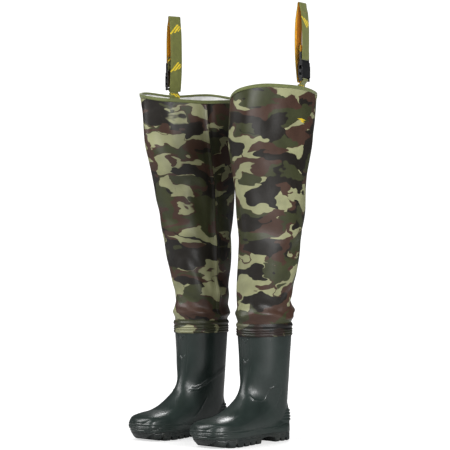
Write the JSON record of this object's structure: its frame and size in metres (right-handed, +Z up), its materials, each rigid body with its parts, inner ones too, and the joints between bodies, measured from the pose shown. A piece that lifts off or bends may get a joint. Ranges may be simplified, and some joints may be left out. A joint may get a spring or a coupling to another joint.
{
  "type": "hip waders",
  "caption": "Pair of thigh-high waterproof waders: camouflage coated-cloth legs welded to lugged rubber boots, each with a buckled hip strap loop.",
  "frame": {"origin": "on the floor under the middle of the pair's outline", "axes": "+Z up, toes towards -Y, +X towards the wearer's left; the left wader is at +X"},
  "size_m": [0.4614, 0.3604, 1.0527],
  "materials": {
    "boot_pvc": "satin",
    "sole_rubber": "satin",
    "coated_cloth": "satin",
    "binding": "matt",
    "webbing": "matt",
    "black_plastic": "satin",
    "lining": "matt",
    "insole_felt": "matt"
  },
  "bodies": {
    "left_foot": {"left_boot_upper": "boot_pvc", "left_boot_lining": "lining", "left_insole": "insole_felt", "left_outsole": "sole_rubber", "left_joint_band": "coated_cloth", "left_leg_lower": "coated_cloth", "left_seam_tape_lower": "coated_cloth", "left_knee_fold": "coated_cloth"},
    "left_thigh": {"left_leg_upper": "coated_cloth", "left_seam_tape_upper": "coated_cloth", "left_top_hem": "binding", "left_strap_anchor": "webbing"},
    "left_strap": {"left_hip_strap": "webbing", "left_strap_front": "webbing", "left_strap_tab": "webbing", "left_buckle_socket": "black_plastic"},
    "left_plug": {"left_buckle_plug": "black_plastic", "left_strap_turn": "webbing"},
    "left_arm_front": {"left_buckle_arm_front": "black_plastic"},
    "left_arm_back": {"left_buckle_arm_back": "black_plastic"},
    "right_foot": {"right_boot_upper": "boot_pvc", "right_boot_lining": "lining", "right_insole": "insole_felt", "right_outsole": "sole_rubber", "right_joint_band": "coated_cloth", "right_leg_lower": "coated_cloth", "right_seam_tape_lower": "coated_cloth", "right_knee_fold": "coated_cloth"},
    "right_thigh": {"right_leg_upper": "coated_cloth", "right_seam_tape_upper": "coated_cloth", "right_top_hem": "binding", "right_strap_anchor": "webbing"},
    "right_strap": {"right_hip_strap": "webbing", "right_strap_front": "webbing", "right_strap_tab": "webbing", "right_buckle_socket": "black_plastic"},
    "right_plug": {"right_buckle_plug": "black_plastic", "right_strap_turn": "webbing"},
    "right_arm_front": {"right_buckle_arm_front": "black_plastic"},
    "right_arm_back": {"right_buckle_arm_back": "black_plastic"}
  },
  "joints": [
    {"name": "left_knee_bend", "type": "hinge", "parent": "left_foot", "child": "left_thigh", "pos_m": [0.118, -0.00002, 0.505], "axis": [-1, 0, 0], "range_deg": [0, 45], "deforming": ["left_knee_fold"]},
    {"name": "left_strap_swing", "type": "hinge", "parent": "left_thigh", "child": "left_strap", "pos_m": [0.21491, 0.05777, 0.85672], "axis": [-0.2079, 0.9781, 0], "range_deg": [-88, 80]},
    {"name": "left_plug_release", "type": "slide", "parent": "left_strap", "child": "left_plug", "axis": [0, 0, 1], "range_m": [0, 0.024], "deforming": ["left_strap_front"]},
    {"name": "left_arm_front_press", "type": "hinge", "parent": "left_plug", "child": "left_arm_front", "pos_m": [0.22358, 0.04826, 0.9005], "axis": [0.9781, 0.2079, 0], "range_deg": [0, 8], "stiffness_Nm_per_rad": 0.6},
    {"name": "left_arm_back_press", "type": "hinge", "parent": "left_plug", "child": "left_arm_back", "pos_m": [0.21896, 0.06998, 0.9005], "axis": [-0.9781, -0.2079, 0], "range_deg": [0, 8], "stiffness_Nm_per_rad": 0.6},
    {"name": "right_knee_bend", "type": "hinge", "parent": "right_foot", "child": "right_thigh", "pos_m": [-0.118, -0.00002, 0.505], "axis": [-1, 0, 0], "range_deg": [0, 45], "deforming": ["right_knee_fold"]},
    {"name": "right_strap_swing", "type": "hinge", "parent": "right_thigh", "child": "right_strap", "pos_m": [-0.21491, 0.05777, 0.85672], "axis": [-0.2079, -0.9781, 0], "range_deg": [-88, 80]},
    {"name": "right_plug_release", "type": "slide", "parent": "right_strap", "child": "right_plug", "axis": [0, 0, 1], "range_m": [0, 0.024], "deforming": ["right_strap_front"]},
    {"name": "right_arm_front_press", "type": "hinge", "parent": "right_plug", "child": "right_arm_front", "pos_m": [-0.22358, 0.04826, 0.9005], "axis": [0.9781, -0.2079, 0], "range_deg": [0, 8], "stiffness_Nm_per_rad": 0.6},
    {"name": "right_arm_back_press", "type": "hinge", "parent": "right_plug", "child": "right_arm_back", "pos_m": [-0.21896, 0.06998, 0.9005], "axis": [-0.9781, 0.2079, 0], "range_deg": [0, 8], "stiffness_Nm_per_rad": 0.6},
    {"name": "pair_apart", "type": "slide", "parent": "left_foot", "child": "right_foot", "axis": [-1, 0, 0], "range_m": [0, 0.3]}
  ]
}
